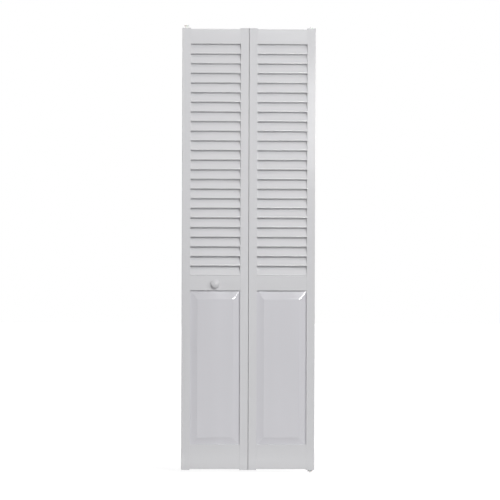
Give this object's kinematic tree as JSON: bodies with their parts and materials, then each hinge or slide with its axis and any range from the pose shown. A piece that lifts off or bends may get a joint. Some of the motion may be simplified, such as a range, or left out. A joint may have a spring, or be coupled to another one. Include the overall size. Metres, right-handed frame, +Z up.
{
  "type": "bifold closet door",
  "caption": "Folding closet door with louvred tops over raised panels, a round knob, hinges behind, sprung top pivot and guide wheel, and a height-adjusting foot pivot.",
  "frame": {"origin": "foot of the bottom pivot pin, on the axis that the pivot leaf swings about", "axes": "+Z up along the pivot axis, -Y towards the room, +X towards the jamb that carries the pivots"},
  "size_m": [0.6022, 0.062, 2.0243],
  "materials": {
    "painted_wood": "smooth satin off-white paint on softwood",
    "knob_paint": "smooth semi-gloss off-white paint on turned wood",
    "bare_wood": "bare beech dowel",
    "hinge_steel": "zinc-plated steel",
    "zinc_steel": "bright zinc-plated steel",
    "nylon": "white moulded nylon",
    "spring_steel": "plain spring steel"
  },
  "bodies": {
    "bottom_pivot": {"bottom_pivot_pin": "zinc_steel"},
    "height_adjuster": {"height_adjuster_nut": "nylon"},
    "pivot_leaf": {"pivot_leaf_outer_stile": "painted_wood", "pivot_leaf_inner_stile": "painted_wood", "pivot_leaf_top_rail": "painted_wood", "pivot_leaf_lock_rail": "painted_wood", "pivot_leaf_bottom_rail": "painted_wood", "pivot_leaf_raised_panel": "painted_wood", "pivot_leaf_louvre_slats": "painted_wood", "pivot_leaf_dowels": "bare_wood", "pivot_leaf_hinge_screws": "hinge_steel", "bottom_hinge_pivot_plate": "hinge_steel", "middle_hinge_pivot_plate": "hinge_steel", "top_hinge_pivot_plate": "hinge_steel", "bottom_hinge_pin": "hinge_steel", "middle_hinge_pin": "hinge_steel", "top_hinge_pin": "hinge_steel", "bottom_pivot_bush": "nylon", "top_pivot_sleeve": "nylon", "top_pivot_spring": "spring_steel"},
    "lead_leaf": {"lead_leaf_outer_stile": "painted_wood", "lead_leaf_inner_stile": "painted_wood", "lead_leaf_top_rail": "painted_wood", "lead_leaf_lock_rail": "painted_wood", "lead_leaf_bottom_rail": "painted_wood", "lead_leaf_raised_panel": "painted_wood", "lead_leaf_louvre_slats": "painted_wood", "lead_leaf_dowels": "bare_wood", "lead_leaf_hinge_screws": "hinge_steel", "bottom_hinge_lead_plate": "hinge_steel", "middle_hinge_lead_plate": "hinge_steel", "top_hinge_lead_plate": "hinge_steel", "knob": "knob_paint", "knob_screw": "hinge_steel", "guide_sleeve": "nylon", "guide_spring": "spring_steel"},
    "top_pivot": {"top_pivot_pin": "zinc_steel"},
    "guide_stem": {"guide_stem": "zinc_steel"},
    "guide_wheel": {"guide_wheel": "nylon"}
  },
  "joints": [
    {"name": "height_adjust", "type": "slide", "parent": "bottom_pivot", "child": "height_adjuster", "axis": [0, 0, 1], "range_m": [0, 0.01]},
    {"name": "pivot_swing", "type": "hinge", "parent": "height_adjuster", "child": "pivot_leaf", "pos_m": [0, 0, 0.0105], "axis": [0, 0, 1], "range_deg": [0, 88]},
    {"name": "fold", "type": "hinge", "parent": "pivot_leaf", "child": "lead_leaf", "pos_m": [-0.2826, 0.0175, 1.01145], "axis": [0, 0, 1], "range_deg": [-176, 0]},
    {"name": "top_pivot_press", "type": "slide", "parent": "pivot_leaf", "child": "top_pivot", "axis": [0, 0, 1], "range_m": [-0.008, 0], "stiffness_N_per_m": 800, "springref_m": 0.006, "deforming": ["top_pivot_spring"]},
    {"name": "guide_press", "type": "slide", "parent": "lead_leaf", "child": "guide_stem", "axis": [0, 0, 1], "range_m": [-0.005, 0], "stiffness_N_per_m": 800, "springref_m": 0.006, "deforming": ["guide_spring"]},
    {"name": "guide_wheel_spin", "type": "hinge", "parent": "guide_stem", "child": "guide_wheel", "pos_m": [-0.5652, 0, 2.0177], "axis": [0, 0, 1], "continuous": true}
  ],
  "couplings": [
    {"joint": "fold", "follows": "pivot_swing", "ratio": -2}
  ]
}
